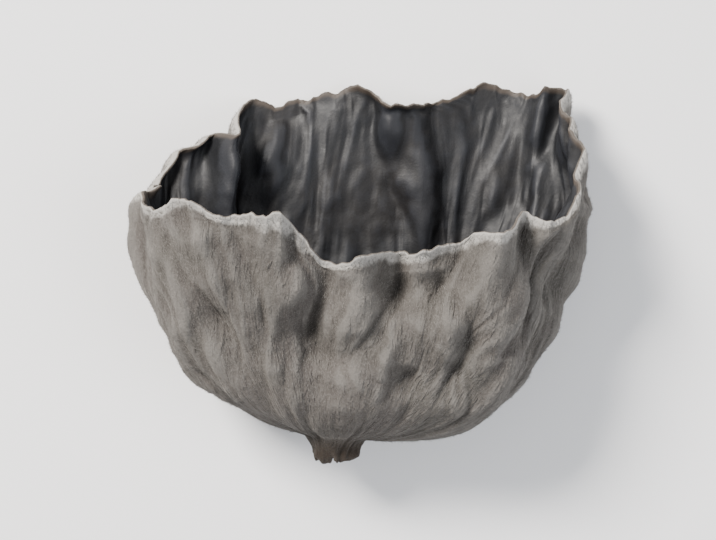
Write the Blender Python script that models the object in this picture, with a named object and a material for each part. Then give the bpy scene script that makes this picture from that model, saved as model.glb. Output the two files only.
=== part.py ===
# One dried wood ear mushroom, a small cup-shaped fruit body lying on its side.
# The ear grew as one piece: a thin wall that spreads from a short tough stub into a cup.
# Drying has shrunk and crumpled the wall and rolled its margin inwards.
# Lengths are written in millimetres and angles in degrees, and MM turns lengths into metres.
# The stub points along -Y, the mouth looks along +Y and up, and the ear rests on the floor at z = 0.

import math

import bmesh
import bpy
import numpy as np
from mathutils import Vector, noise

for old_object in list(bpy.data.objects):
    bpy.data.objects.remove(old_object, do_unlink=True)

MM = 0.001

# Where the wall leaves the stub, the way the ear grew from there, and the size of that neck
NECK = np.array([-1.5, -12.0, 5.2])
GROWTH = np.array([0.08, 0.97, 0.05])
NECK_RADIUS = 2.3

# The stub behind the neck: how far back each ring lies and its radius, out to the torn scar
STUB_RINGS = [(0.7, 1.8), (1.05, 1.5), (1.5, 1.4), (2.0, 1.5), (2.25, 1.25), (2.05, 0.6)]
SCAR_DEPTH = 1.9
STUB_FLATTENING = 0.2
STUB_RAGGEDNESS = 0.3
STUB_FOLDS = 2.2

# The shallow bottom of the cup, over the stub
PIT_DEPTH = 0.5
PIT_RADII = (1.6, 0.8)

# The wall's thickness at the neck, half way and at the rim, the share of that change which is
# left for the lip, the least thickness over the floor, and how far the rim's edge is rounded
WALL_NECK = 1.1
WALL_MIDDLE = 0.78
WALL_RIM = 0.56
LIP_SHARE = 0.1
WALL_LEAST = 0.35
RIM_ROUNDING = 0.18

# Sixteen ribs around the cup, starting at the left lobe and going over the top to the right.
# Each holds the place where the wall ends, how far the wall splays as it leaves the neck, how
# far it keeps to that splay, its heading where it ends, and the length and turn of its rolled lip.
RIBS = [
    # x, y, z, splay, fullness, heading, lip length, lip turn
    (-16.0, 2.4, 8.8, 82, 0.50, 22, 1.8, 10),
    (-12.2, 3.4, 12.0, 80, 0.46, 14, 1.8, -30),
    (-7.0, 1.6, 12.8, 76, 0.44, 6, 1.5, -50),
    (-2.0, -0.4, 11.6, 70, 0.42, 2, 1.5, -60),
    (3.4, -0.6, 12.2, 74, 0.45, 4, 1.4, -55),
    (9.2, 0.6, 12.8, 82, 0.50, 4, 1.6, -50),
    (13.4, 2.0, 11.4, 90, 0.56, 2, 1.6, -20),
    (15.6, 4.8, 8.6, 92, 0.54, 4, 1.6, 20),
    (17.0, 8.4, 5.0, 86, 0.50, 2, 1.6, 30),
    (15.6, 11.2, 1.9, 76, 0.46, 6, 1.4, 30),
    (8.8, 11.6, 0.4, 62, 0.42, 2, 1.3, 40),
    (3.2, 11.0, 2.0, 60, 0.40, -6, 1.8, 60),
    (-3.2, 11.4, 0.4, 62, 0.42, 4, 1.4, 30),
    (-8.4, 9.8, 1.2, 68, 0.45, 0, 1.8, 50),
    (-13.2, 6.4, 3.4, 78, 0.48, 6, 2.6, 100),
    (-16.2, 3.2, 5.8, 84, 0.52, 16, 2.4, 90),
]

# How far the wall keeps to the heading it ends with, as a share of its reach, and how late
# along the lip its roll comes
ENDING = 0.40
LIP_CURL = 1.6

# Creases that run up the wall: turn at the rim and at the neck, in degrees around the cup,
# where along the wall each starts, its depth at the rim and its half width
CREASES = [
    (37, 72, 0.14, 1.7, 1.9),
    (86, 92, 0.40, 0.6, 1.2),
    (128, 180, 0.25, 1.2, 1.4),
    (202, 190, 0.35, 0.8, 1.5),
    (250, 246, 0.30, 0.9, 1.8),
    (340, 330, 0.20, 1.0, 1.6),
    (12, 24, 0.35, 0.8, 1.2),
]
CREASE_ROUNDING = 0.3

# Dents pressed into the upper wall just under its rim: place seen from above, radius and depth
DENTS = [(2.2, -2.1, 1.5, 1.2), (6.0, -2.0, 1.6, 1.2), (-5.0, -6.0, 3.0, 1.1), (4.0, -8.0, 2.4, 0.7)]

# Crumpling: folds around the cup, folds along the wall, depth in mm, how it grows to the rim,
# and which stretch of the noise it is read from
CRUMPLES = [(2.0, 1.3, 2.6, 1.6, 5.2), (3.4, 2.4, 2.4, 1.3, 3.4), (5.4, 3.4, 1.5, 1.1, 5.4)]

# Puckers, the shallow hollows with rounded ridges between them: their spacing and depth in mm
PUCKER_SPACING = 3.4
PUCKER_DEPTH = 0.9

# How round the ridges of both are, as a share of a full swing of the noise
RIDGE_SOFTNESS = 0.08

# How much of a crumple is plain swing and how much is ridge, and the two that level it out:
# where in the swing the ridges lie and the height that the whole is lowered by
SWING_SHARE = 0.55
RIDGE_SHARE = 0.9
RIDGE_PLACE = 0.1
RIDGE_MEAN = 0.22
PUCKER_MEAN = 0.25

# How unevenly the margin ends: waves around the rim and their height in mm
MARGIN_WAVES = 4.2
MARGIN_HEIGHT = 1.6
MARGIN_PLACE = 5.3

# Places where the ear touches the floor, seen from above, and the radius of each, then the level
# of the middle of the wall there and the height over which a foot is drawn down
FEET = [(1.0, -7.4, 3.4), (-5.6, 12.0, 2.8), (9.6, 12.4, 2.6)]
FOOT_LEVEL = 0.22
FOOT_HEIGHT = 4
FOOT_MIDDLE = 0.6
BELLY_CLEARANCE = 0.9
FLOOR_SOFTNESS = 0.5

# How finely the solid is divided: columns around the cup, rows up the wall and rows over the lip,
# the steps the lip's roll is added up in, and how often the directions of the skin are evened out
COLUMNS = 104
WALL_ROWS = 15
LIP_ROWS = 4
LIP_STEPS = 40
EASINGS = 2


def unit(vectors):
    """Vectors of the same direction, one long."""
    return vectors / np.linalg.norm(vectors, axis=-1, keepdims=True)


def around(values, places, whole, at):
    """A smooth closed curve through the values, read at other places around the cup."""
    places = np.concatenate([places - whole, places, places + whole])
    values = np.concatenate([values, values, values])
    slopes = np.gradient(values, places)
    left = np.searchsorted(places, at, side="right") - 1
    gap = places[left + 1] - places[left]
    t = (at - places[left]) / gap
    start = (2 * t**3 - 3 * t**2 + 1) * values[left] + (t**3 - 2 * t**2 + t) * gap * slopes[left]
    end = (3 * t**2 - 2 * t**3) * values[left + 1] + (t**3 - t**2) * gap * slopes[left + 1]
    return start + end


def outward(sheet):
    """The direction out of the cup at each point of a sheet of rows and columns."""
    across = np.roll(sheet, -1, axis=1) - np.roll(sheet, 1, axis=1)
    along = np.gradient(sheet, axis=0)
    return unit(np.cross(across, along))


def eased(directions, times):
    """Directions evened out with their neighbours, so the two skins don't cross in a tight fold."""
    for _ in range(times):
        ends = np.concatenate([directions[:1], directions, directions[-1:]])
        sides = np.roll(directions, 1, axis=1) + np.roll(directions, -1, axis=1)
        directions = unit(2 * directions + sides + ends[:-2] + ends[2:])
    return directions


def around_noise(turn, folds, lengthwise):
    """Noise that closes on itself around the cup, from -1 to 1."""
    return noise.noise(Vector((folds * math.cos(turn), folds * math.sin(turn), lengthwise)))


def smooth_wall(columns, along, over):
    """The wall before it crumples, the lip that rolls in from its end, and each column's way out."""
    ribs = np.array(RIBS)
    growth = unit(GROWTH)
    steps = np.linalg.norm(np.roll(ribs[:, :3], -1, axis=0) - ribs[:, :3], axis=1)
    places = np.cumsum(steps) - steps
    at = np.arange(columns) * steps.sum() / columns
    read = [around(values, places, steps.sum(), at) for values in ribs.T]
    rim = np.stack(read[:3], axis=-1)
    splay, heading, lip_turn = np.radians(read[3]), np.radians(read[5]), np.radians(read[7])
    fullness, lip_length = read[4][:, None], read[6]
    turns = np.arange(columns) * 2 * math.pi / columns
    waves = np.array([around_noise(turn, MARGIN_WAVES, MARGIN_PLACE) for turn in turns])
    lip_length = lip_length + MARGIN_HEIGHT * waves

    offset = rim - NECK
    radial = unit(offset - (offset @ growth)[:, None] * growth)
    neck = NECK + NECK_RADIUS * radial
    reach = np.linalg.norm(rim - neck, axis=1)[:, None]
    leave = np.cos(splay)[:, None] * growth + np.sin(splay)[:, None] * radial
    arrive = np.cos(heading)[:, None] * growth + np.sin(heading)[:, None] * radial
    first = neck + fullness * reach * leave
    second = rim - ENDING * reach * arrive
    t = along[:, None, None]
    wall = (1 - t)**3 * neck + 3 * (1 - t)**2 * t * first + 3 * (1 - t) * t**2 * second + t**3 * rim

    margin = unit(np.roll(rim, -1, axis=0) - np.roll(rim, 1, axis=0))
    kept = (arrive * margin).sum(axis=1, keepdims=True) * margin
    inward = np.cross(arrive, margin)
    turn = (lip_turn * np.linspace(0, 1, LIP_STEPS + 1)[:, None]**LIP_CURL)[..., None]
    course = kept + np.cos(turn) * (arrive - kept) + np.sin(turn) * inward
    step = (course[1:] + course[:-1]) / 2 * lip_length[:, None] / LIP_STEPS
    gone = np.concatenate([np.zeros((1, columns, 3)), np.cumsum(step, axis=0)])
    lip = gone[np.round(over * LIP_STEPS).astype(int)]
    return wall, lip, radial


def fold(swing):
    """A smooth swing of noise made into sharper ridges with broad hollows between them."""
    ridge = RIDGE_MEAN - math.hypot(swing - RIDGE_PLACE, RIDGE_SOFTNESS)
    return SWING_SHARE * swing + RIDGE_SHARE * ridge


def crumple_depths(wall, along):
    """How far drying has moved each point of the wall out of the cup, in mm."""
    rows, columns, _ = wall.shape
    turns = np.arange(columns) * 2 * math.pi / columns
    girth = np.linalg.norm(np.roll(wall, -1, axis=1) - wall, axis=-1).sum(axis=1)
    depth = np.zeros((rows, columns))
    for row, v in enumerate(along):
        for column, turn in enumerate(turns):
            for folds, lengthwise, height, growth, place in CRUMPLES:
                swing = around_noise(turn, folds, lengthwise * v + place)
                depth[row, column] += height * v**growth * fold(swing)
            swing = noise.noise(Vector(wall[row, column] / PUCKER_SPACING))
            hollow = math.hypot(swing, RIDGE_SOFTNESS)
            depth[row, column] += PUCKER_DEPTH * min(1, 2 * v) * (PUCKER_MEAN - hollow)
    for rim_turn, neck_turn, start, deep, half_width in CREASES:
        middle = np.radians(neck_turn + (rim_turn - neck_turn) * along)[:, None]
        away = (turns - middle + math.pi) % (2 * math.pi) - math.pi
        away = away * girth[:, None] / (2 * math.pi * half_width)
        rise = np.clip((along - start) / (1 - start), 0, 1)[:, None]
        depth -= deep * rise * np.exp(CREASE_ROUNDING - np.hypot(away, CREASE_ROUNDING))
    return depth


def dent_depths(wall):
    """How deep the dents press in at each point; they lie in the upper wall only."""
    depth = np.zeros(wall.shape[:2])
    upper = outward(wall)[..., 2] > 0
    for x, y, radius, deep in DENTS:
        away = ((wall[..., 0] - x)**2 + (wall[..., 1] - y)**2) / radius**2
        depth -= np.where(upper, deep * np.exp(-away), 0)
    return depth


def settle(sheet):
    """Lift the belly clear of the floor, then draw the feet down to it."""
    settled = sheet.copy()
    above = sheet[..., 2] - BELLY_CLEARANCE
    settled[..., 2] = BELLY_CLEARANCE + (above + np.sqrt(above**2 + FLOOR_SOFTNESS**2)) / 2
    for x, y, radius in FEET:
        away = ((settled[..., 0] - x)**2 + (settled[..., 1] - y)**2) / radius**2
        pull = np.exp(-away - (settled[..., 2] / FOOT_HEIGHT)**2)
        lowest = np.argmin(np.where(away < FOOT_MIDDLE, settled[..., 2], np.inf))
        settled[..., 2] -= (settled[..., 2].flat[lowest] - FOOT_LEVEL) / pull.flat[lowest] * pull
    return settled


def ear_sheet(along, over, columns):
    """The middle of the dried wall with its lip, and each column's direction from the stub's axis."""
    wall, lip, radial = smooth_wall(columns, along, over)
    depth = crumple_depths(wall, along) + dent_depths(wall)
    wall = wall + outward(wall) * depth[..., None]
    return settle(np.concatenate([wall, wall[-1] + lip[1:]])), radial


def ear_rings():
    """Rings of points over the whole skin, from the scar to the rim and back down the inside.

    The first point is the middle of the scar and the last is the bottom of the cup.
    """
    growth = unit(GROWTH)
    along, over = np.linspace(0, 1, WALL_ROWS), np.linspace(0, 1, LIP_ROWS + 1)
    sheet, radial = ear_sheet(along, over, COLUMNS)
    out = eased(outward(sheet), EASINGS)
    part_way = np.concatenate([along * (1 - LIP_SHARE), 1 - LIP_SHARE * (1 - over[1:])])
    thickness = np.interp(part_way, [0, 0.5, 1], [WALL_NECK, WALL_MIDDLE, WALL_RIM])[:, None, None]
    outer = sheet + out * thickness / 2
    inner = sheet - out * thickness / 2
    edge = sheet[-1] + unit(sheet[-1] - sheet[-2]) * RIM_ROUNDING
    outer[..., 2] = np.maximum(outer[..., 2], 0)
    edge[..., 2] = np.maximum(edge[..., 2], 0)
    inner[..., 2] = np.maximum(inner[..., 2], WALL_LEAST)

    stub = []
    for back, radius in STUB_RINGS:
        ragged = [noise.noise(Vector(STUB_FOLDS * r) + Vector((0, back, 0))) for r in radial]
        flattened = 1 + STUB_FLATTENING * (2 * radial[:, 0]**2 - 1)
        reach = (radius * flattened * (1 + STUB_RAGGEDNESS * np.array(ragged)))[:, None]
        stub.append(NECK - growth * back + radial * reach)
    pit = [NECK + growth * PIT_DEPTH + radial * radius for radius in PIT_RADII]
    scar, bottom = NECK - growth * SCAR_DEPTH, NECK + growth * PIT_DEPTH
    return [scar] + stub[::-1] + list(outer) + [edge] + list(inner[::-1]) + pit + [bottom]


def build_ear():
    """The ear as one closed mesh object, its box centred over the origin and its feet at z = 0."""
    scar, *rings, bottom = ear_rings()
    points = np.concatenate(rings)
    centre = (points.min(axis=0) + points.max(axis=0)) / 2 * (1, 1, 0)
    mesh = bmesh.new()
    loops = [[mesh.verts.new((point - centre) * MM) for point in ring] for ring in rings]
    scar_point = mesh.verts.new((scar - centre) * MM)
    bottom_point = mesh.verts.new((bottom - centre) * MM)
    for k in range(COLUMNS):
        after = (k + 1) % COLUMNS
        for lower, upper in zip(loops, loops[1:]):
            mesh.faces.new((lower[k], lower[after], upper[after], upper[k]))
        mesh.faces.new((scar_point, loops[0][after], loops[0][k]))
        mesh.faces.new((bottom_point, loops[-1][k], loops[-1][after]))
    bmesh.ops.recalc_face_normals(mesh, faces=mesh.faces)
    data = bpy.data.meshes.new("wood_ear")
    mesh.to_mesh(data)
    mesh.free()
    data.shade_smooth()
    ear = bpy.data.objects.new("wood_ear", data)
    bpy.context.scene.collection.objects.link(ear)
    return ear


def dried_skin():
    """Grey-brown dry skin, as the outside of the ear shows it."""
    material = bpy.data.materials.new("dried_skin")
    material.use_nodes = True
    shader = material.node_tree.nodes["Principled BSDF"]
    shader.inputs["Base Color"].default_value = (0.13, 0.12, 0.105, 1.0)
    shader.inputs["Roughness"].default_value = 0.8
    shader.inputs["Metallic"].default_value = 0.0
    return material


wood_ear = build_ear()
wood_ear.data.materials.append(dried_skin())
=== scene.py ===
# One dried wood ear mushroom, lying on its side on a pale floor and seen from straight above.

import math

import bpy
import numpy as np
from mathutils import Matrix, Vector, noise


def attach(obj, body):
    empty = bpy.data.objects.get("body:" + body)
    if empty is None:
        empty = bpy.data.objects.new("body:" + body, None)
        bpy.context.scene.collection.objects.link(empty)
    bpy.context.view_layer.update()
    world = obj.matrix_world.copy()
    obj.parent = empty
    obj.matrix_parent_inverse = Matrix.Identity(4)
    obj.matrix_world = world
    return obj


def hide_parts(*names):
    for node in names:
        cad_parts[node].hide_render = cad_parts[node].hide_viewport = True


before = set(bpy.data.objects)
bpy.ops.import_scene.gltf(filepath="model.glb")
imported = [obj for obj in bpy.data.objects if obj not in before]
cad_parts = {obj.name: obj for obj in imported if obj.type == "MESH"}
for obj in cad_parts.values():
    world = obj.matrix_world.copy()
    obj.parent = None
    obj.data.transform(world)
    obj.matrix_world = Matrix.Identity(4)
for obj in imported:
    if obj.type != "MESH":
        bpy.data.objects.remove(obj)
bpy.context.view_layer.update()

# The ear
# A dried wood ear is one thin wall of gelatinous fungus that grew as a cup from a short stub.
# Drying has shrunk it to a third, crumpled it, and rolled its margin in. Lengths are in mm and
# angles in degrees, in the frame the ear was drawn in.

MM = 0.001
# The middle of the ear's box, which is put over the frame's origin
DRAWN_CENTRE = np.array([0.12208, -0.33440, 0.0])

# Where the wall starts from the stub, the way the ear grew, and the wall's radius there
NECK = np.array([-1.5, -12.0, 5.2])
GROWTH = np.array([0.08, 0.97, 0.05])
NECK_RADIUS = 2.3

# The wall's thickness on its way to the rim, and the share of its length that is the lip
WALL_NECK = 1.1
WALL_MIDDLE = 0.78
WALL_RIM = 0.56
LIP_SHARE = 0.1
# The inner skin stays this far above the floor, and the edge bulges this far beyond the lip
WALL_LEAST = 0.35
RIM_ROUNDING = 0.18

RIBS = [
    # x, y, z, splay, fullness, heading, lip length, lip turn
    (-16.0, 2.4, 8.8, 82, 0.50, 22, 1.8, 10),
    (-12.2, 3.4, 12.0, 80, 0.46, 14, 1.8, -30),
    (-7.0, 1.6, 12.8, 76, 0.44, 6, 1.5, -50),
    (-2.0, -0.4, 11.6, 70, 0.42, 2, 1.5, -60),
    (3.4, -0.6, 12.2, 74, 0.45, 4, 1.4, -55),
    (9.2, 0.6, 12.8, 82, 0.50, 4, 1.6, -50),
    (13.4, 2.0, 11.4, 90, 0.56, 2, 1.6, -20),
    (15.6, 4.8, 8.6, 92, 0.54, 4, 1.6, 20),
    (17.0, 8.4, 5.0, 86, 0.50, 2, 1.6, 30),
    (15.6, 11.2, 1.9, 76, 0.46, 6, 1.4, 30),
    (8.8, 11.6, 0.4, 62, 0.42, 2, 1.3, 40),
    (3.2, 11.0, 2.0, 60, 0.40, -6, 1.8, 60),
    (-3.2, 11.4, 0.4, 62, 0.42, 4, 1.4, 30),
    (-8.4, 9.8, 1.2, 68, 0.45, 0, 1.8, 50),
    (-13.2, 6.4, 3.4, 78, 0.48, 6, 2.6, 100),
    (-16.2, 3.2, 5.8, 84, 0.52, 16, 2.4, 90),
]
# How much of its reach the wall takes to turn to its heading, and how late the lip curls
ENDING = 0.40
LIP_CURL = 1.6
# The margin's long waves: swings around the rim, height, and the stretch of noise they come from
MARGIN_WAVES = 4.2
MARGIN_HEIGHT = 1.6
MARGIN_PLACE = 5.3
# Nicks and small waves of the torn margin: swings around the rim and height
NICKS = [(13.0, 0.42), (27.0, 0.24), (46.0, 0.10)]
NICK_PLACE = 0.7
# The margin's sharpest bend: its turn, how far it reaches and how much shorter the lip is there
BEND = (343, 5, 0.4)

# Columns around the cup, rows up the wall and over the lip, and steps in which the lip is curled
COLUMNS = 416
WALL_ROWS = 96
LIP_ROWS = 12
LIP_STEPS = 48
TURNS = np.arange(COLUMNS) * 2 * math.pi / COLUMNS
ALONG = np.linspace(0, 1, WALL_ROWS)
OVER = np.linspace(0, 1, LIP_ROWS + 1)


def unit(vectors):
    """Vectors of the same direction, one long."""
    return vectors / np.linalg.norm(vectors, axis=-1, keepdims=True)


def noise_at(places):
    """Smooth noise from -1 to 1 at an array of places."""
    flat = np.reshape(places, (-1, 3)).tolist()
    return np.array([noise.noise(place) for place in flat]).reshape(np.shape(places)[:-1])


def around_noise(turns, folds, lengthwise):
    """Noise that closes on itself around the cup; folds sets how many swings there are."""
    turns, lengthwise = np.broadcast_arrays(turns, lengthwise)
    return noise_at(np.stack([folds * np.cos(turns), folds * np.sin(turns), lengthwise], axis=-1))


def around(values, places, whole, at):
    """A smooth closed curve through the values, read at other places around the cup."""
    places = np.concatenate([places - whole, places, places + whole])
    values = np.concatenate([values, values, values])
    slopes = np.gradient(values, places)
    left = np.searchsorted(places, at, side="right") - 1
    gap = places[left + 1] - places[left]
    t = (at - places[left]) / gap
    start = (2 * t**3 - 3 * t**2 + 1) * values[left] + (t**3 - 2 * t**2 + t) * gap * slopes[left]
    end = (3 * t**2 - 2 * t**3) * values[left + 1] + (t**3 - t**2) * gap * slopes[left + 1]
    return start + end


def outward(sheet):
    """The direction out of the cup at each point of a sheet of rows and columns."""
    across = np.roll(sheet, -1, axis=1) - np.roll(sheet, 1, axis=1)
    along = np.gradient(sheet, axis=0)
    return unit(np.cross(across, along))


def evened(values, times):
    """Values on the sheet, evened out with their neighbours."""
    for _ in range(times):
        ends = np.concatenate([values[:1], values, values[-1:]])
        sides = np.roll(values, 1, axis=1) + np.roll(values, -1, axis=1)
        values = (2 * values + sides + ends[:-2] + ends[2:]) / 6
    return values


def smooth_wall():
    """The wall before it crumples, the lip that rolls in from its end, and each column's way out."""
    ribs = np.array(RIBS)
    growth = unit(GROWTH)
    steps = np.linalg.norm(np.roll(ribs[:, :3], -1, axis=0) - ribs[:, :3], axis=1)
    places = np.cumsum(steps) - steps
    at = np.arange(COLUMNS) * steps.sum() / COLUMNS
    read = [around(values, places, steps.sum(), at) for values in ribs.T]
    rim = np.stack(read[:3], axis=-1)
    splay, heading, lip_turn = np.radians(read[3]), np.radians(read[5]), np.radians(read[7])
    fullness = read[4][:, None]
    lip_length = read[6] + MARGIN_HEIGHT * around_noise(TURNS, MARGIN_WAVES, MARGIN_PLACE)
    for swings, height in NICKS:
        lip_length = lip_length + height * around_noise(TURNS, swings, NICK_PLACE)
    bend_turn, bend_reach, shorter = BEND
    from_bend = (np.degrees(TURNS) - bend_turn + 180) % 360 - 180
    lip_length = lip_length * (1 - shorter * np.exp(-(from_bend / bend_reach)**2))

    offset = rim - NECK
    radial = unit(offset - (offset @ growth)[:, None] * growth)
    neck = NECK + NECK_RADIUS * radial
    reach = np.linalg.norm(rim - neck, axis=1)[:, None]
    leave = np.cos(splay)[:, None] * growth + np.sin(splay)[:, None] * radial
    arrive = np.cos(heading)[:, None] * growth + np.sin(heading)[:, None] * radial
    first = neck + fullness * reach * leave
    second = rim - ENDING * reach * arrive
    t = ALONG[:, None, None]
    wall = (1 - t)**3 * neck + 3 * (1 - t)**2 * t * first + 3 * (1 - t) * t**2 * second + t**3 * rim

    margin = unit(np.roll(rim, -1, axis=0) - np.roll(rim, 1, axis=0))
    kept = (arrive * margin).sum(axis=1, keepdims=True) * margin
    inward = np.cross(arrive, margin)
    turn = (lip_turn * np.linspace(0, 1, LIP_STEPS + 1)[:, None]**LIP_CURL)[..., None]
    course = kept + np.cos(turn) * (arrive - kept) + np.sin(turn) * inward
    step = (course[1:] + course[:-1]) / 2 * lip_length[:, None] / LIP_STEPS
    gone = np.concatenate([np.zeros((1, COLUMNS, 3)), np.cumsum(step, axis=0)])
    return wall, gone[np.round(OVER * LIP_STEPS).astype(int)], radial


# The folds that drying made, the same as the solid's: folds around the cup, folds along the
# wall, depth, growth towards the rim, and the stretch of noise each is read from
CRUMPLES = [(2.0, 1.3, 2.6, 1.6, 5.2), (3.4, 2.4, 2.4, 1.3, 3.4), (5.4, 3.4, 1.5, 1.1, 5.4)]
# A fold's share of plain swing and of rounded ridge, where on the swing that ridge lies, its mean
# height and how soft it is
SWING_SHARE = 0.55
RIDGE_SHARE = 0.9
RIDGE_PLACE = 0.1
RIDGE_MEAN = 0.22
RIDGE_SOFTNESS = 0.08
# The puckers between the folds, and how far up the wall they are at full depth
PUCKER_SPACING = 3.4
PUCKER_DEPTH = 0.9
PUCKER_MEAN = 0.25
PUCKERS_FULL_AT = 0.5
CREASES = [
    # turn at the rim and at the neck, start, depth at the rim, half width
    (37, 72, 0.14, 1.7, 1.9),
    (86, 92, 0.40, 0.6, 1.2),
    (128, 180, 0.25, 1.2, 1.4),
    (202, 190, 0.35, 0.8, 1.5),
    (250, 246, 0.30, 0.9, 1.8),
    (340, 330, 0.20, 1.0, 1.6),
    (12, 24, 0.35, 0.8, 1.2),
]
CREASE_ROUNDING = 0.3
# Dents pressed into the upper side: x, y, radius and depth
DENTS = [(2.2, -2.1, 1.5, 1.2), (6.0, -2.0, 1.6, 1.2), (-5.0, -6.0, 3.0, 1.1), (4.0, -8.0, 2.4, 0.7)]


def crumple_depths(wall):
    """How far drying has moved each point of the wall out of the cup, in mm."""
    girth = np.linalg.norm(np.roll(wall, -1, axis=1) - wall, axis=-1).sum(axis=1)
    v = ALONG[:, None]
    depth = np.zeros(wall.shape[:2])
    for folds, lengthwise, height, growth, place in CRUMPLES:
        swing = around_noise(TURNS, folds, lengthwise * v + place)
        ridge = RIDGE_MEAN - np.hypot(swing - RIDGE_PLACE, RIDGE_SOFTNESS)
        depth += height * v**growth * (SWING_SHARE * swing + RIDGE_SHARE * ridge)
    hollow = np.hypot(noise_at(wall / PUCKER_SPACING), RIDGE_SOFTNESS)
    depth += PUCKER_DEPTH * np.minimum(1, v / PUCKERS_FULL_AT) * (PUCKER_MEAN - hollow)
    for rim_turn, neck_turn, start, deep, half_width in CREASES:
        middle = np.radians(neck_turn + (rim_turn - neck_turn) * v)
        away = (TURNS - middle + math.pi) % (2 * math.pi) - math.pi
        away = away * girth[:, None] / (2 * math.pi * half_width)
        rise = np.clip((v - start) / (1 - start), 0, 1)
        depth -= deep * rise * np.exp(CREASE_ROUNDING - np.hypot(away, CREASE_ROUNDING))
    upper = outward(wall)[..., 2] > 0
    for x, y, radius, deep in DENTS:
        away = ((wall[..., 0] - x)**2 + (wall[..., 1] - y)**2) / radius**2
        depth -= np.where(upper, deep * np.exp(-away), 0)
    return depth


# Where the ear touches the floor, as x, y and radius, and how it is drawn down there
FEET = [(1.0, -7.4, 3.4), (-5.6, 12.0, 2.8), (9.6, 12.4, 2.6)]
FOOT_LEVEL = 0.22
FOOT_HEIGHT = 4
FOOT_MIDDLE = 0.6
BELLY_CLEARANCE = 0.9
FLOOR_SOFTNESS = 0.5


def settle(sheet):
    """Lift the belly clear of the floor, then draw the feet down to it."""
    settled = sheet.copy()
    above = sheet[..., 2] - BELLY_CLEARANCE
    settled[..., 2] = BELLY_CLEARANCE + (above + np.sqrt(above**2 + FLOOR_SOFTNESS**2)) / 2
    for x, y, radius in FEET:
        away = ((settled[..., 0] - x)**2 + (settled[..., 1] - y)**2) / radius**2
        pull = np.exp(-away - (settled[..., 2] / FOOT_HEIGHT)**2)
        lowest = np.argmin(np.where(away < FOOT_MIDDLE, settled[..., 2], np.inf))
        settled[..., 2] -= (settled[..., 2].flat[lowest] - FOOT_LEVEL) / pull.flat[lowest] * pull
    return settled


# Wrinkles and skins are set off from the wall along its way out, evened out this many times
WAY_EVENINGS = 36

wall, lip, radial = smooth_wall()
wall = wall + outward(wall) * crumple_depths(wall)[..., None]
sheet = settle(np.concatenate([wall, wall[-1] + lip[1:]]))
way_out = unit(evened(outward(sheet), WAY_EVENINGS))
share = np.concatenate([ALONG * (1 - LIP_SHARE), 1 - LIP_SHARE * (1 - OVER[1:])])[:, None]

# Wrinkles too small for the solid. Both skins carry the ones that run up from the stub and the
# net between them, and each has a finer net of its own.
# Gathers by the stub: swings around the cup and along the wall, depth, and how soon they fade
GATHERS = (5.2, 0.8, 0.50, 0.13)
# Wrinkles and furrows up the wall: swings around the cup and along the wall, and depth
GROWTH_WRINKLES = [(8.0, 1.7, 0.44), (15.0, 3.0, 0.30), (22.0, 5.5, 0.20)]
FURROWS = [(6.0, 2.4, 0.36), (11.0, 4.6, 0.26)]
WRINKLE_PLACE = 11
FURROW_PLACE = 23
# How they sway on their way up: radians, swings around the cup and along it, stretch of noise
SWAY = (0.16, 3.1, 4, 7)
# Nets: spacing and depth, and for one skin's own net the stretch of noise
NET = [(2.4, 0.16), (1.2, 0.07)]
OUTER_NET = (0.95, 0.05, 9)
INNER_NET = (0.9, 0.06, 5)
# Where each sets in from the neck, and over how much of the wall's length it grows
WRINKLES_GROW = (0.04, 0.3)
FURROWS_GROW = (0.1, 0.3)
NET_GROWS = (0, 0.25)
OUTER_NET_GROWS = (0, 0.1)
WRINKLE_SOFTNESS = 0.04
WRINKLE_MEAN = 0.23
# Patches of the wall with stronger wrinkles, between which the furrows are stronger
PATCH_SIZE = 5.5
PATCH_PLACE = 3
PATCH_MEAN = 0.5
PATCH_CONTRAST = 1.1
PATCH_LEAST = 0.15
PATCH_MOST_FURROWED = 1.15
# How uneven the wall's thickness is, with swings around the cup and along it
UNEVENNESS = (0.18, 15.0, 3)
# The margin thins by this share, from here over so much of the length, and so late
THINNING = 0.5
THINNING_GROWS = (0.9, 0.1)
THINNING_CURVE = 1.5


def ridged(swing):
    """Noise turned into soft ridges with hollows between them, about level on the whole."""
    return WRINKLE_MEAN - np.hypot(swing, WRINKLE_SOFTNESS)


def grown(start, over):
    """How far a form has grown in each row: not at all up to its start, then fully."""
    return np.clip((share - start) / over, 0, 1)


sway, folds, lengthwise, place = SWAY
bent = TURNS + sway * around_noise(TURNS, folds, lengthwise * share + place)
patch = PATCH_MEAN + PATCH_CONTRAST * noise_at(sheet / PATCH_SIZE + PATCH_PLACE)
patch = np.clip(patch, PATCH_LEAST, 1)
folds, lengthwise, depth, fade = GATHERS
relief = depth * np.exp(-share / fade) * ridged(around_noise(bent, folds, lengthwise * share))
for folds, lengthwise, depth in GROWTH_WRINKLES:
    swing = around_noise(bent, folds, lengthwise * share + WRINKLE_PLACE)
    relief = relief + depth * grown(*WRINKLES_GROW) * patch * ridged(swing)
for folds, lengthwise, depth in FURROWS:
    swing = around_noise(bent, folds, lengthwise * share + FURROW_PLACE)
    relief = relief - depth * grown(*FURROWS_GROW) * (PATCH_MOST_FURROWED - patch) * ridged(swing)
for spacing, depth in NET:
    relief = relief + depth * grown(*NET_GROWS) * ridged(noise_at(sheet / spacing))
sheet = sheet + way_out * relief[..., None]

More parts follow.
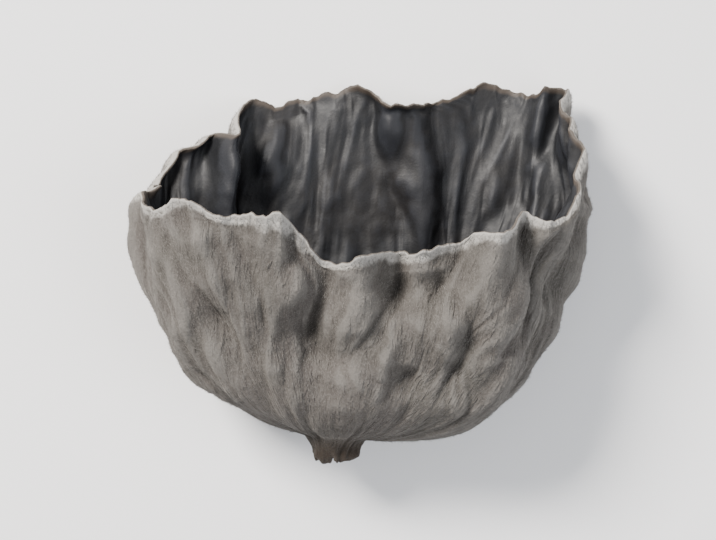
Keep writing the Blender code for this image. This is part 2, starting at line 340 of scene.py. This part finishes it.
thickness = np.interp(share, [0, 0.5, 1], [WALL_NECK, WALL_MIDDLE, WALL_RIM])
uneven, folds, lengthwise = UNEVENNESS
thickness = thickness * (1 + uneven * around_noise(TURNS, folds, lengthwise * share))
thickness = thickness * (1 - THINNING * grown(*THINNING_GROWS)**THINNING_CURVE)
spacing, depth, place = OUTER_NET
outer_relief = depth * ridged(noise_at(sheet / spacing + place)) * grown(*OUTER_NET_GROWS)
outer = sheet + way_out * (thickness / 2 + outer_relief)[..., None]
outer[..., 2] = np.maximum(outer[..., 2], 0)
spacing, depth, place = INNER_NET
inner_relief = depth * ridged(noise_at(sheet / spacing + place))
inner = sheet - way_out * (thickness / 2 + inner_relief)[..., None]
inner[..., 2] = np.maximum(inner[..., 2], WALL_LEAST)

# The rim's rounded edge, as angles over from the outer skin to the inner one
EDGE_ANGLES = (-48, -18, 18, 48)
middle, half = (outer[-1] + inner[-1]) / 2, (outer[-1] - inner[-1]) / 2
beyond = unit(sheet[-1] - sheet[-3]) * RIM_ROUNDING
edge = []
for angle in EDGE_ANGLES:
    over = math.radians(angle)
    ring = middle - half * math.sin(over) + beyond * math.cos(over)
    ring[:, 2] = np.maximum(ring[:, 2], 0)
    edge.append(ring)

# The stub where the ear was torn from its wood: how far back each ring lies and its radius. The
# outer skin's gathers run on over its first rings.
STUB_RINGS = [(0.6, 2.0), (0.95, 1.55), (1.5, 1.4), (2.0, 1.5), (2.25, 1.25), (2.05, 0.6), (1.9, 0.0)]
STUB_FLATTENING = 0.2
STUB_RAGGEDNESS = 0.3
STUB_FOLDS = 2.2
# The rings drawn along it, by how much of a ring the last stops short of the scar's middle, and
# how many of them lead over from the outer skin
STUB_STEPS = 16
STUB_SHORT = 0.35
STUB_BLEND = 7
# Fibres along the stub: how many, how soon they change on their way back, and their height
FIBRE_FOLDS = 5.0
FIBRE_CHANGE = 0.7
FIBRE_DEPTH = 0.16
# Depth of the tear, its folds around the stub, and how late towards the torn end it sets in
TEARS = [(0.5, 1.4, 2), (0.45, 5.5, 4)]
TEAR_PLACE = 4

growth = unit(GROWTH)
stub_length = max(back for back, radius in STUB_RINGS)
from_neck = outer[0] - NECK
skin_back, skin_reach = -from_neck @ growth, (from_neck * radial).sum(axis=1)
skin_aside = from_neck + growth * skin_back[:, None] - radial * skin_reach[:, None]
stub = []
for step in range(1, STUB_STEPS + 1):
    place = step / (STUB_STEPS + STUB_SHORT) * (len(STUB_RINGS) - 1)
    back, radius = [np.interp(place, range(len(STUB_RINGS)), column) for column in zip(*STUB_RINGS)]
    ragged = noise_at(STUB_FOLDS * radial + (0, back, 0))
    fibres = around_noise(TURNS, FIBRE_FOLDS, FIBRE_CHANGE * back)
    flattened = 1 + STUB_FLATTENING * (2 * radial[:, 0]**2 - 1)
    reach = radius * flattened * (1 + STUB_RAGGEDNESS * ragged) + FIBRE_DEPTH * min(1, radius) * fibres
    torn = 0
    for depth, folds, late in TEARS:
        tear = noise_at(radial * folds + (TEAR_PLACE, radius, 0))
        torn = torn + depth * (back / stub_length)**late * tear
    own = min(1, step / STUB_BLEND)
    own = own**2 * (3 - 2 * own)
    back_here = own * (back + torn) + (1 - own) * skin_back
    reach_here = own * reach + (1 - own) * skin_reach
    stub.append(NECK - growth * back_here[:, None] + radial * reach_here[:, None] + (1 - own) * skin_aside)
scar = NECK - growth * STUB_RINGS[-1][0]

# The bottom of the cup: how far up from the neck it lies, and the rings that close it
PIT_DEPTH = 0.5
PIT_RADII = (1.6, 0.8)
bottom = NECK + growth * PIT_DEPTH
pit = [bottom + radial * radius for radius in PIT_RADII]


def added(name, points, faces):
    """A mesh of this name in the scene, from points in mm in the frame the ear was drawn in."""
    mesh = bpy.data.meshes.new(name)
    mesh.from_pydata(((points - DRAWN_CENTRE) * MM).tolist(), [], faces)
    piece = bpy.data.objects.new(name, mesh)
    bpy.context.scene.collection.objects.link(piece)
    return piece


# Both skins, the edge and the stub joined into one closed surface
rings = [*stub[::-1], *outer, *edge, *inner[::-1], *pit]
points = np.concatenate([[scar], *rings, [bottom]])
here, after = np.arange(COLUMNS), np.roll(np.arange(COLUMNS), -1)
faces = np.stack([0 * here, after + 1, here + 1], axis=1).tolist()
for ring in range(len(rings) - 1):
    low, high = 1 + ring * COLUMNS, 1 + (ring + 1) * COLUMNS
    faces += np.stack([low + here, low + after, high + after, high + here], axis=1).tolist()
faces += np.stack([0 * here + len(points) - 1, high + here, high + after], axis=1).tolist()
ear = added("wood_ear_skin", points, faces)
ear.data.validate()
ear.data.shade_smooth()

# What the skins' colours follow. Growth is 0 at the neck, 1 at the rim, more over the edge and
# less down the stub.
EDGE_GROWTH = (1.0, 1.03, 1.06, 1.06)
# Fine and broad ridges: how often the skin is evened out to find them, and their usual height
FINE_RIDGES = (8, 0.06)
BROAD_RIDGES = (90, 0.45)


def over_all(on_stub, on_outer, on_edge, on_inner, in_pit):
    """One value a point, from the scar over the outer skin and the edge to the bottom of the cup."""
    blocks = [on_stub[::-1], on_outer, on_edge, on_inner[::-1], in_pit]
    blocks = [np.broadcast_to(block, (len(block), COLUMNS)) for block in blocks]
    joined = np.concatenate(blocks).ravel()
    return np.concatenate([joined[:1], joined, joined[-1:]])


def ridges(evenings, height):
    """How far each point of both skins stands out of its surroundings, as a share of a height."""
    on_outer = ((outer - evened(outer, evenings)) * way_out).sum(axis=-1)
    on_inner = ((inner - evened(inner, evenings)) * way_out).sum(axis=-1)
    return over_all(0 * stub_growth, on_outer, 0 * edge_growth, -on_inner, pit_growth) / height


def store(name, values):
    """Keep a number or a vector on each point of the ear, for the skins' colours to read."""
    values = np.asarray(values, dtype=np.float32)
    kind = "FLOAT" if values.ndim == 1 else "FLOAT_VECTOR"
    attribute = ear.data.attributes.new(name, kind, "POINT")
    attribute.data.foreach_set("value" if values.ndim == 1 else "vector", values.ravel())


stub_growth = -np.linspace(0, 1, STUB_STEPS)[:, None]
edge_growth = np.array(EDGE_GROWTH)[:, None]
pit_growth = np.zeros((len(PIT_RADII), 1))
growth_share = over_all(stub_growth, share, edge_growth, share, pit_growth)
turn_at = np.concatenate([[0], np.tile(TURNS, len(rings)), [0]])
store("growth", growth_share)
store("fine_ridge", ridges(*FINE_RIDGES))
store("broad_ridge", ridges(*BROAD_RIDGES))
store("grain", np.stack([np.cos(turn_at), np.sin(turn_at), np.minimum(growth_share, 1)], axis=-1))

# The grain runs from the stub to the rim: the mouth's mean radius and the wall's length in mm
MOUTH_RADIUS = 15.75
WALL_LENGTH = 22.0


def linear(code):
    """A colour code as it shows on a screen, turned to linear values."""
    shares = [int(code[k:k + 2], 16) / 255 for k in (1, 3, 5)]
    return [s / 12.92 if s <= 0.04045 else ((s + 0.055) / 1.055)**2.4 for s in shares] + [1.0]


def per_mm(size):
    """A texture's scale for features of this size in mm."""
    return 1 / (size * MM)


def on_grain(wide, long):
    """A texture's scale on the grain for streaks of this width at the rim and length in mm."""
    return (MOUTH_RADIUS / wide, MOUTH_RADIUS / wide, WALL_LENGTH / long)


def material(name):
    """A material that has no nodes yet."""
    made = bpy.data.materials.new(name)
    made.use_nodes = True
    made.node_tree.nodes.clear()
    return made


def add(tree, kind, settings=None, inputs=None, output=0):
    """Add a node with its settings and its inputs, as values or as links, and give an output."""
    made = tree.nodes.new(kind)
    for name, value in (settings or {}).items():
        setattr(made, name, value)
    for socket, value in (inputs or {}).items():
        if isinstance(value, bpy.types.NodeSocket):
            tree.links.new(value, made.inputs[socket])
        else:
            made.inputs[socket].default_value = value
    return made.outputs[output] if made.outputs else None


def tinted(tree, base, tints):
    """A base colour with tints laid over it. Each says what it follows, where it starts and where
    it is full, how strong it is, and its colour."""
    colour = linear(base)
    for follows, start, full, most, code in tints:
        part = add(tree, "ShaderNodeMapRange", {"interpolation_type": "SMOOTHSTEP"},
                   {"Value": follows, "From Min": start, "From Max": full, "To Max": most})
        colour = add(tree, "ShaderNodeMix", {"data_type": "RGBA"},
                     {0: part, 6: colour, 7: linear(code)}, output=2)
    return colour


def raised(tree, textures):
    """The skin's normal with these textures as its relief, each with its height in mm."""
    height = 0.0
    for texture, depth in textures:
        height = add(tree, "ShaderNodeMath", {"operation": "MULTIPLY_ADD"},
                     {0: texture, 1: depth, 2: height})
    return add(tree, "ShaderNodeBump", {}, {"Height": height, "Strength": 1.0, "Distance": MM})


# Sterile outer skin: dry felted fungus, matt as suede and warm grey, paler where the ridges are worn,
# with painted shade that darkens the creases, brown towards the stub, and a painted highlight that
# lays a pale, ragged band along the rim.
# The felt is finer than the render shows, so it is drawn coarser than it is.
outer_skin = material("felted_fungus_skin")
tree = outer_skin.node_tree
where = add(tree, "ShaderNodeTexCoord", output="Object")
grain = add(tree, "ShaderNodeAttribute", {"attribute_name": "grain"}, output="Vector")
growth_at = add(tree, "ShaderNodeAttribute", {"attribute_name": "growth"}, output="Fac")
fine_ridge = add(tree, "ShaderNodeAttribute", {"attribute_name": "fine_ridge"}, output="Fac")
broad_ridge = add(tree, "ShaderNodeAttribute", {"attribute_name": "broad_ridge"}, output="Fac")
patches = add(tree, "ShaderNodeTexNoise", {},
              {"Vector": where, "Scale": per_mm(6), "Detail": 3.0, "Roughness": 0.5})
flecks = add(tree, "ShaderNodeTexNoise", {},
             {"Vector": where, "Scale": per_mm(1.2), "Detail": 5.0, "Roughness": 0.6})
felt = add(tree, "ShaderNodeTexNoise", {},
           {"Vector": where, "Scale": per_mm(0.16), "Detail": 2.0, "Roughness": 0.6})
long_grain = add(tree, "ShaderNodeMapping", {}, {"Vector": grain, "Scale": on_grain(0.606, 4)})
streaks = add(tree, "ShaderNodeTexNoise", {},
              {"Vector": long_grain, "Scale": 1.0, "Detail": 4.0, "Roughness": 0.55, "Distortion": 0.5})
short_grain = add(tree, "ShaderNodeMapping", {}, {"Vector": grain, "Scale": on_grain(0.35, 1)})
crepe = add(tree, "ShaderNodeTexNoise", {"noise_type": "RIDGED_MULTIFRACTAL", "normalize": True},
            {"Vector": short_grain, "Scale": 1.0, "Detail": 2.0, "Roughness": 0.5, "Distortion": 0.5})
# Where the painted rim highlight lies: the growth share made ragged by the flecks
ragged_rim_highlight = add(tree, "ShaderNodeMath", {"operation": "MULTIPLY_ADD"}, {0: flecks, 1: 0.09, 2: growth_at})
colour = tinted(tree, "#45423e", [
    (patches, 0.35, 0.65, 1.0, "#484340"),
    (flecks, 0.35, 0.70, 0.5, "#524e4a"),
    (streaks, 0.45, 0.70, 0.5, "#595551"),
    (broad_ridge, 0.0, 1.6, 0.35, "#625f5b"),
    (fine_ridge, 0.0, 1.4, 0.5, "#686561"),
    (felt, 0.45, 0.70, 0.3, "#726f6b"),
    # Painted shade: the skin darkens in its fine and broad creases
    (fine_ridge, -0.1, -1.5, 0.35, "#2e2a27"),
    (broad_ridge, -0.5, -2.0, 0.35, "#2b2724"),
    (growth_at, 0.20, -0.4, 0.9, "#332a22"),
    (growth_at, -0.6, -0.95, 1.0, "#57452f"),
    # Painted highlight: a pale, ragged band along the rim, where the rolled lip catches the light
    (ragged_rim_highlight, 0.985, 1.025, 0.9, "#a19e99"),
    (growth_at, 1.01, 1.04, 0.85, "#3d342c"),
])
rough = add(tree, "ShaderNodeMapRange", {},
            {"Value": flecks, "From Min": 0.3, "From Max": 0.7, "To Min": 0.75, "To Max": 0.92})
normal = raised(tree, [(felt, 0.06), (crepe, 0.20), (streaks, 0.24)])
shader = add(tree, "ShaderNodeBsdfPrincipled", {}, {
    "Base Color": colour, "Roughness": rough, "Normal": normal, "IOR": 1.45, "Specular IOR Level": 0.3,
    "Sheen Weight": 0.15, "Sheen Roughness": 0.5, "Sheen Tint": linear("#d8d2c8")})
add(tree, "ShaderNodeOutputMaterial", {}, {"Surface": shader})

# Fertile inner skin: dried jelly, nearly black and satin, with a faint grey bloom on its ridges
# and a brown cast at the thin margin. Its pores are finer than the render shows, so they are
# drawn coarser than they are.
inner_skin = material("dried_jelly_skin")
tree = inner_skin.node_tree
where = add(tree, "ShaderNodeTexCoord", output="Object")
grain = add(tree, "ShaderNodeAttribute", {"attribute_name": "grain"}, output="Vector")
growth_at = add(tree, "ShaderNodeAttribute", {"attribute_name": "growth"}, output="Fac")
fine_ridge = add(tree, "ShaderNodeAttribute", {"attribute_name": "fine_ridge"}, output="Fac")
patches = add(tree, "ShaderNodeTexNoise", {},
              {"Vector": where, "Scale": per_mm(5), "Detail": 3.0, "Roughness": 0.55})
flecks = add(tree, "ShaderNodeTexNoise", {},
             {"Vector": where, "Scale": per_mm(0.9), "Detail": 5.0, "Roughness": 0.65})
pores = add(tree, "ShaderNodeTexNoise", {},
            {"Vector": where, "Scale": per_mm(0.2), "Detail": 3.0, "Roughness": 0.6})
short_grain = add(tree, "ShaderNodeMapping", {}, {"Vector": grain, "Scale": on_grain(1.05, 3.143)})
cockles = add(tree, "ShaderNodeTexNoise", {"noise_type": "RIDGED_MULTIFRACTAL", "normalize": True},
              {"Vector": short_grain, "Scale": 1.0, "Detail": 3.0, "Roughness": 0.5, "Distortion": 0.6})
colour = tinted(tree, "#121316", [
    (patches, 0.40, 0.65, 0.8, "#191717"),
    (flecks, 0.45, 0.75, 0.35, "#22242a"),
    (fine_ridge, 0.0, 1.3, 0.35, "#2b2d33"),
    (growth_at, 0.975, 0.998, 0.7, "#453c34"),
])
rough = add(tree, "ShaderNodeMapRange", {},
            {"Value": flecks, "From Min": 0.3, "From Max": 0.7, "To Min": 0.48, "To Max": 0.64})
normal = raised(tree, [(pores, 0.015), (cockles, 0.10)])
shader = add(tree, "ShaderNodeBsdfPrincipled", {}, {
    "Base Color": colour, "Roughness": rough, "Normal": normal, "IOR": 1.5, "Specular IOR Level": 0.35})
add(tree, "ShaderNodeOutputMaterial", {}, {"Surface": shader})

ear.data.materials.append(outer_skin)
ear.data.materials.append(inner_skin)
skin_of = np.zeros(len(ear.data.polygons), dtype=np.int32)
skin_of[COLUMNS * (len(stub) + len(outer) + len(edge)):] = 1
ear.data.polygons.foreach_set("material_index", skin_of)
ear.data.update()

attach(ear, "root")
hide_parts("wood_ear")

# The down on the outer skin
# Short pale hairs that grew on the sterile side, dried and matted towards the margin. Each is one
# three-sided needle rooted in the skin, drawn several times as thick as a real hair so that it
# shows. The hairs by the stub and those by the rim are one piece each.

DOWN_SEED = 7
# Places tried for a hair, rows without hairs at either end of the wall, the share of hairs that
# every patch keeps, and the percentage of places that may lose theirs
DOWN_PLACES = 255000
BARE_ROWS = 2
BALD_SHARE = 0.35
THINNED = 99
# A hair's least and greatest length, its radius, how deep it is rooted, and the least height of
# its points above the floor
HAIR_LENGTH = (0.10, 0.30)
HAIR_RADIUS = 0.013
HAIR_ROOT = 0.01
HAIR_FLOOR = 0.005
HAIR_CORNERS = (90, 210, 330)
HAIR_FACES = [(0, 1, 3), (1, 2, 3), (2, 0, 3), (2, 1, 0)]
# How far hairs lean to the rim, how much they stray, and how much of that shows in their shading
HAIR_LEAN = 1.5
HAIR_TANGLE = 0.45
TANGLE_SHADING = 0.4

pick = np.random.default_rng(DOWN_SEED)
row = pick.uniform(BARE_ROWS, len(sheet) - BARE_ROWS, DOWN_PLACES)
column = pick.uniform(0, COLUMNS, DOWN_PLACES)
low_row, low_column = row.astype(int), column.astype(int)
next_column = (low_column + 1) % COLUMNS
part_row, part_column = (row - low_row)[:, None], (column - low_column)[:, None]


def on_skin(values):
    """Values of the sheet read at the hairs' places."""
    near = values[low_row, low_column] * (1 - part_column) + values[low_row, next_column] * part_column
    far = values[low_row + 1, low_column] * (1 - part_column) + values[low_row + 1, next_column] * part_column
    return near * (1 - part_row) + far * part_row


area = np.linalg.norm(np.cross(np.gradient(outer, axis=0), np.gradient(outer, axis=1)), axis=-1)
weight = on_skin((area * (BALD_SHARE + (1 - BALD_SHARE) * patch))[..., None])[:, 0]
kept = pick.uniform(0, np.percentile(weight, THINNED), len(weight)) < weight
kept = np.flatnonzero(kept)[np.argsort(row[kept], kind="stable")]
ways = unit(on_skin(way_out)[kept])
roots = on_skin(outer)[kept] - HAIR_ROOT * ways
toward_rim = unit(on_skin(np.gradient(outer, axis=0))[kept])
tangle = pick.normal(0, HAIR_TANGLE, roots.shape)
direction = unit(ways + HAIR_LEAN * toward_rim + tangle)
side = unit(np.cross(ways + pick.normal(0, HAIR_TANGLE, roots.shape), direction))
up = np.cross(direction, side)
tips = roots + direction * pick.uniform(*HAIR_LENGTH, len(roots))[:, None]
corners = [roots + HAIR_RADIUS * (math.cos(a) * side + math.sin(a) * up) for a in np.radians(HAIR_CORNERS)]
needles = np.stack([*corners, tips], axis=1)
needles[..., 2] = np.maximum(needles[..., 2], HAIR_FLOOR)
needle_points = len(HAIR_CORNERS) + 1
hair_normals = np.repeat(unit(ways + TANGLE_SHADING * tangle)[:, None], needle_points, axis=1)

# Fungus hair: clear pale threads that catch the light and turn the brown skin grey
hair = material("fungus_hair")
tree = hair.node_tree
where = add(tree, "ShaderNodeTexCoord", output="Object")
tufts = add(tree, "ShaderNodeTexNoise", {},
            {"Vector": where, "Scale": per_mm(0.8), "Detail": 2.0, "Roughness": 0.6})
colour = add(tree, "ShaderNodeMix", {"data_type": "RGBA"},
             {0: tufts, 6: linear("#504c48"), 7: linear("#807d78")}, output=2)
shader = add(tree, "ShaderNodeBsdfPrincipled", {}, {"Base Color": colour, "Roughness": 0.7, "IOR": 1.45})
add(tree, "ShaderNodeOutputMaterial", {}, {"Surface": shader})

half_way = len(needles) // 2
for name, part in (("down_by_stub", slice(0, half_way)), ("down_by_rim", slice(half_way, None))):
    hair_points = needles[part].reshape(-1, 3)
    first = np.arange(0, len(hair_points), needle_points)[:, None, None]
    down = added(name, hair_points, (first + HAIR_FACES).reshape(-1, 3).tolist())
    down.data.normals_split_custom_set_from_vertices(hair_normals[part].reshape(-1, 3).tolist())
    down.data.materials.append(hair)
    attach(down, "root")
    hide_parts("wood_ear")

# The floor
# A plain sheet of pale card that the ear lies on. It is only part of the picture, and a hair's
# breadth under the ear so that the two never share a face.

FLOOR_HALF = 1.5
FLOOR_DROP = 0.00002
sides = ((-1, -1), (1, -1), (1, 1), (-1, 1))
floor_corners = [(x * FLOOR_HALF, y * FLOOR_HALF, -FLOOR_DROP) for x, y in sides]
floor_mesh = bpy.data.meshes.new("floor")
floor_mesh.from_pydata(floor_corners, [], [(0, 1, 2, 3)])
floor = bpy.data.objects.new("floor", floor_mesh)
bpy.context.scene.collection.objects.link(floor)
card = material("white_card")
tree = card.node_tree
shader = add(tree, "ShaderNodeBsdfPrincipled", {}, {"Base Color": linear("#f1f1f2"), "Roughness": 0.7})
add(tree, "ShaderNodeOutputMaterial", {}, {"Surface": shader})
floor_mesh.materials.append(card)

# Light and camera
# Soft light from a broad lamp above the upper left, a weaker one from the right, and a pale room.
# The camera looks straight down, as the photograph does, with the stub towards the lower edge.

CAMERA_HEIGHT = 0.30
VIEW_WIDTH = 0.0538
SENSOR_WIDTH = 36.0
NEAREST_SEEN = 0.01


def lamp(name, place, size, power, colour):
    """A square soft lamp that points at the ear, with place and size in m and power in W."""
    data = bpy.data.lights.new(name, "AREA")
    data.size, data.energy, data.color = size, power, linear(colour)[:3]
    made = bpy.data.objects.new(name, data)
    made.location = place
    made.rotation_euler = (-Vector(place)).to_track_quat("-Z", "Y").to_euler()
    bpy.context.scene.collection.objects.link(made)


lamp("key_lamp", (-0.22, 0.20, 0.28), 0.14, 4.6, "#fffaf4")
lamp("fill_lamp", (0.30, -0.12, 0.30), 0.30, 1.2, "#f4f8ff")
world = bpy.data.worlds.new("pale_room")
world.use_nodes = True
world.node_tree.nodes["Background"].inputs["Color"].default_value = linear("#f4f5f7")
world.node_tree.nodes["Background"].inputs["Strength"].default_value = 0.75
bpy.context.scene.world = world

camera_data = bpy.data.cameras.new("camera")
camera_data.sensor_width = SENSOR_WIDTH
camera_data.lens = SENSOR_WIDTH * CAMERA_HEIGHT / VIEW_WIDTH
camera_data.clip_start = NEAREST_SEEN
camera = bpy.data.objects.new("camera", camera_data)
camera.location = (0.0, 0.0, CAMERA_HEIGHT)
bpy.context.scene.collection.objects.link(camera)
bpy.context.scene.camera = camera
